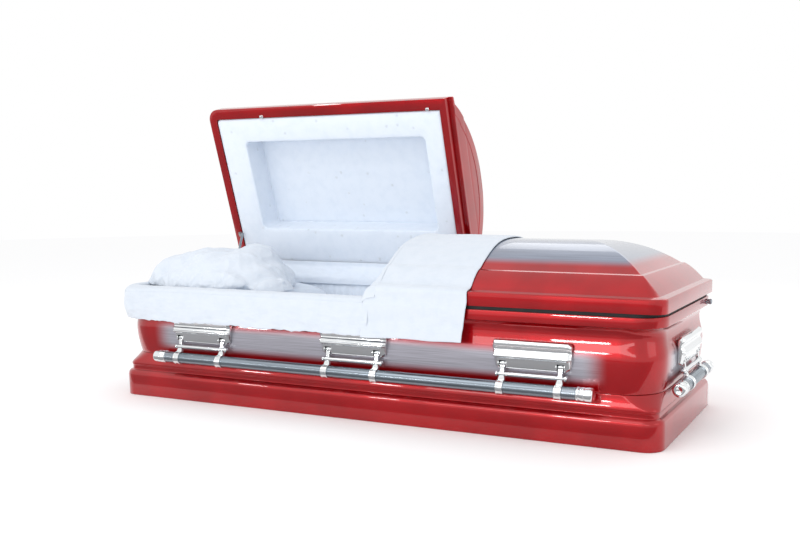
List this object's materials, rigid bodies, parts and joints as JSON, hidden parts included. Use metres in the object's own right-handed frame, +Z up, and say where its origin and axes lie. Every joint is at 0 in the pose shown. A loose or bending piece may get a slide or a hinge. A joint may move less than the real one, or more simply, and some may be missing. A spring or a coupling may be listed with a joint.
{
  "type": "funeral casket",
  "caption": "Half-couch metal casket on a stepped base, with hipped lids, one open and one closed, white cloth lining and overlay, and swing handles all round.",
  "frame": {"origin": "centre of the underside, between the ends and between the sides of the base moulding", "axes": "+X along the length towards the foot end, +Y from the front to the hinge side, +Z up"},
  "size_m": [2.2114, 0.8912, 1.132],
  "materials": {
    "red_lacquer": "gloss candy red over brushed silver shading",
    "chrome": "polished",
    "dark_bar": "dark brushed",
    "steel": "zinc plated",
    "rubber": "matt",
    "white_cloth": "soft white cloth, gathered and quilted"
  },
  "bodies": {
    "casket": {"base_moulding": "red_lacquer", "bottom_pan": "red_lacquer", "body_shell": "red_lacquer", "lid_gasket": "rubber", "head_hinge_box_leaf": "steel", "foot_hinge_box_leaf": "steel", "lock_port_cap": "dark_bar", "mattress": "white_cloth", "pillow": "white_cloth", "side_lining": "white_cloth", "overlay": "white_cloth", "folded_throw": "white_cloth", "throw_fall": "white_cloth", "front_ear_1": "chrome", "front_ear_2": "chrome", "front_ear_3": "chrome", "back_ear_1": "chrome", "back_ear_2": "chrome", "back_ear_3": "chrome", "foot_ear": "chrome", "head_ear": "chrome"},
    "head_lid": {"head_lid": "red_lacquer", "head_lid_lining": "white_cloth", "head_hinge_lid_leaf": "steel", "lid_stay_bracket": "steel", "latch_stud_1": "chrome", "latch_stud_2": "chrome"},
    "foot_lid": {"foot_lid": "red_lacquer", "foot_lid_lip": "red_lacquer", "foot_lid_lining": "white_cloth", "foot_hinge_lid_leaf": "steel", "foot_throw": "white_cloth"},
    "lid_stay": {"lid_stay": "steel"},
    "front_handle": {"front_bail_1": "chrome", "front_bail_2": "chrome", "front_bail_3": "chrome", "front_bar": "dark_bar", "front_tip_1": "chrome", "front_tip_2": "chrome"},
    "back_handle": {"back_bail_1": "chrome", "back_bail_2": "chrome", "back_bail_3": "chrome", "back_bar": "dark_bar", "back_tip_1": "chrome", "back_tip_2": "chrome"},
    "foot_handle": {"foot_bail": "chrome", "foot_bar": "dark_bar", "foot_tip_1": "chrome", "foot_tip_2": "chrome"},
    "head_handle": {"head_bail": "chrome", "head_bar": "dark_bar", "head_tip_1": "chrome", "head_tip_2": "chrome"}
  },
  "joints": [
    {"name": "head_lid_hinge", "type": "hinge", "parent": "casket", "child": "head_lid", "pos_m": [0, 0.371, 0.4106], "axis": [-1, 0, 0], "range_deg": [-74.6, 0], "deforming": ["overlay", "folded_throw", "throw_fall"]},
    {"name": "lid_stay_swing", "type": "hinge", "parent": "head_lid", "child": "lid_stay", "pos_m": [-1.0253, 0.31758, 0.5857], "axis": [-1, 0, 0], "range_deg": [0, 145]},
    {"name": "foot_lid_hinge", "type": "hinge", "parent": "casket", "child": "foot_lid", "pos_m": [0, 0.371, 0.4106], "axis": [-1, 0, 0], "range_deg": [0, 74]},
    {"name": "front_handle_swing", "type": "hinge", "parent": "casket", "child": "front_handle", "pos_m": [0, -0.367, 0.239], "axis": [-1, 0, 0], "range_deg": [0, 85]},
    {"name": "back_handle_swing", "type": "hinge", "parent": "casket", "child": "back_handle", "pos_m": [0, 0.367, 0.239], "axis": [1, 0, 0], "range_deg": [0, 85]},
    {"name": "foot_handle_swing", "type": "hinge", "parent": "casket", "child": "foot_handle", "pos_m": [1.0645, 0, 0.239], "axis": [0, -1, 0], "range_deg": [0, 85]},
    {"name": "head_handle_swing", "type": "hinge", "parent": "casket", "child": "head_handle", "pos_m": [-1.0645, 0, 0.239], "axis": [0, 1, 0], "range_deg": [0, 85]}
  ],
  "couplings": [
    {"joint": "lid_stay_swing", "follows": "head_lid_hinge", "ratio": -1.9383}
  ]
}
